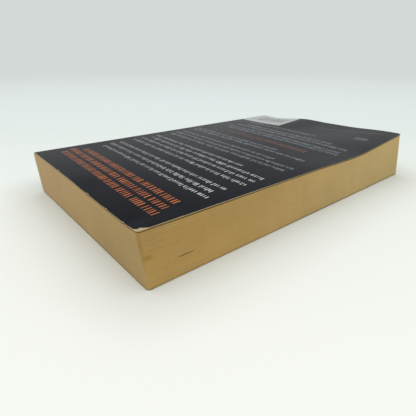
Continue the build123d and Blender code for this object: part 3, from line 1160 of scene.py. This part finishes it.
def pale_floor(colours):
    """Pale floor that takes the book's shadow, with a painted shadow right beside the book, and
    turns into the backdrop.
    """
    material = bpy.data.materials.new("pale_floor")
    floor = Nodes(material)
    # painted light and shade: the floor's colour is lighter in front of the book and darker behind
    # it
    away = (-math.sin(CAMERA_YAW), math.cos(CAMERA_YAW), 0.0)
    away = floor.measure("DOT_PRODUCT", floor.places, away)
    first, last = FLOOR_STOPS[0], FLOOR_STOPS[-1]
    shades = (colours.floor, colours.floor_middle, colours.floor_far, colours.backdrop)
    colour = floor.ramp(
        floor.fade(away, first, last, kind="LINEAR"),
        [(stop - first) / (last - first) for stop in FLOOR_STOPS], shades,
    )
    radius = floor.measure("LENGTH", floor.places)
    tone = floor.mix(floor.fade(radius, 0.35, 1.4), colour, colours.backdrop[:])
    # painted shadow: the floor is a little darker right beside the book
    beside = floor.node("VectorMath", (floor.places,), operation="ABSOLUTE")
    for kind, amount in (("SUBTRACT", (FORE_X, HALF_HEIGHT, 0.0)), ("MAXIMUM", (0.0, 0.0, 0.0))):
        beside = floor.node("VectorMath", (beside, amount), operation=kind)
    beside = floor.measure("LENGTH", beside)
    shade = floor.fade(beside, 0.0, 32 * MM, 0.91, 1.0, "SMOOTHERSTEP")
    grain = {"Height": floor.noise(260.0, 2.0, 0.5), "Distance": 0.04 * MM}
    matt = {"Color": floor.shaded(tone, shade), "Normal": floor.node("Bump", grain)}
    matt, glow = floor.node("BsdfDiffuse", matt), floor.node("Emission", {"Color": tone})
    floor.show("OutputMaterial", floor.far_shown(floor.fade(radius, 0.2, 0.9), matt, glow))
    return material


def pale_room(colours):
    """Even light, with a darker band above the horizon that keeps the middle of the black
    cover deep, and the backdrop's colour for the camera."""
    world = bpy.data.worlds.new("pale_room")
    room = Nodes(world, places="Generated")
    side = room.measure("DOT_PRODUCT", room.places, ROOM_SIDE)
    level = room.fade(side, -1.0, 1.0, 0.82, 1.075, "LINEAR")
    stops, shares = zip(*ROOM_BAND)
    band = room.ramp(room.axis("Z"), stops, [(share,) * 3 for share in shares])
    light = {"Color": colours.room_light[:], "Strength": level * band}
    light = room.node("Background", light)
    backdrop = room.node("Background", {"Color": colours.backdrop[:]})
    room.show("OutputWorld", room.far_shown(None, light, backdrop))
    return world


class PAPERBACK_OT_stage(bpy.types.Operator):
    """Pale floor, soft light and the camera at the photograph's angle"""

    bl_idname = "paperback.stage"
    bl_label = "Stage"

    def execute(self, context):
        scene = context.scene
        scene.view_settings.view_transform = "Standard"
        colours = scene.paperback_colours
        clear_selection()
        bpy.ops.mesh.primitive_plane_add(size=FLOOR_SIZE, location=(0, 0, -FLOOR_DROP))
        floor = bpy.context.object
        floor.name = "floor"
        with editing():
            bpy.ops.mesh.select_all(action="SELECT")
            bpy.ops.mesh.subdivide(number_cuts=12)
        floor.data.materials.append(pale_floor(colours))
        scene.world = pale_room(colours)

        clear_selection()
        bpy.ops.object.light_add(type="AREA", location=LAMP_PLACE)
        lamp = bpy.context.object
        lamp.name = "key_light"
        lamp.data.shape = "DISK"
        lamp.data.size = LAMP_SIZE
        lamp.data.energy = LAMP_POWER
        lamp.data.color = (1.0, 0.98, 0.95)
        lamp.rotation_euler = (-lamp.location).to_track_quat("-Z", "Y").to_euler()
        scene.camera = self.camera()
        return {"FINISHED"}

    def camera(self):
        cos_p, sin_p = math.cos(CAMERA_PITCH), math.sin(CAMERA_PITCH)
        cos_y, sin_y = math.cos(CAMERA_YAW), math.sin(CAMERA_YAW)
        cos_r, sin_r = math.cos(CAMERA_ROLL), math.sin(CAMERA_ROLL)
        forward = np.array((-sin_y * cos_p, cos_y * cos_p, -sin_p))
        right = np.array((cos_y, sin_y, 0.0))
        up = np.cross(right, forward)
        right, up = right * cos_r + up * sin_r, -right * sin_r + up * cos_r
        turned = Matrix(np.stack([right, up, -forward], axis=1).tolist())
        bpy.ops.object.camera_add(location=CAMERA_PLACE, rotation=turned.to_euler())
        camera = bpy.context.object
        camera.name = "photo_camera"
        camera.data.sensor_width = SENSOR
        camera.data.lens = SENSOR * FOCAL_PIXELS / PHOTO_WIDTH
        camera.data.clip_start = 0.005
        camera.data.clip_end = 30.0
        return camera


class PAPERBACK_PT_build(bpy.types.Panel):
    """Builds the book piece by piece"""

    bl_label = "Paperback book"
    bl_idname = "PAPERBACK_PT_build"
    bl_space_type = "VIEW_3D"
    bl_region_type = "UI"
    bl_category = "Book"

    def draw(self, context):
        layout = self.layout
        for group in (context.scene.paperback_sizes, context.scene.paperback_colours):
            for name in group.__annotations__:
                layout.prop(group, name)
        for operator in OPERATORS:
            layout.operator(operator.bl_idname)


OPERATORS = (
    PAPERBACK_OT_leaf_block,
    PAPERBACK_OT_binding_glue,
    PAPERBACK_OT_spine,
    PAPERBACK_OT_back_cover,
    PAPERBACK_OT_front_cover,
    PAPERBACK_OT_print,
    PAPERBACK_OT_stage,
)
CLASSES = (PaperbackSizes, PaperbackColours, *OPERATORS, PAPERBACK_PT_build)


def register():
    for made in CLASSES:
        bpy.utils.register_class(made)
    bpy.types.Scene.paperback_sizes = bpy.props.PointerProperty(type=PaperbackSizes)
    bpy.types.Scene.paperback_colours = bpy.props.PointerProperty(type=PaperbackColours)


def unregister():
    del bpy.types.Scene.paperback_colours
    del bpy.types.Scene.paperback_sizes
    for made in reversed(CLASSES):
        bpy.utils.unregister_class(made)


def main():
    register()
    bpy.ops.paperback.leaf_block()
    bpy.ops.paperback.binding_glue()
    bpy.ops.paperback.spine()
    bpy.ops.paperback.back_cover()
    bpy.ops.paperback.front_cover()
    bpy.ops.paperback.print()
    bpy.ops.paperback.stage()


if __name__ == "__main__":
    main()
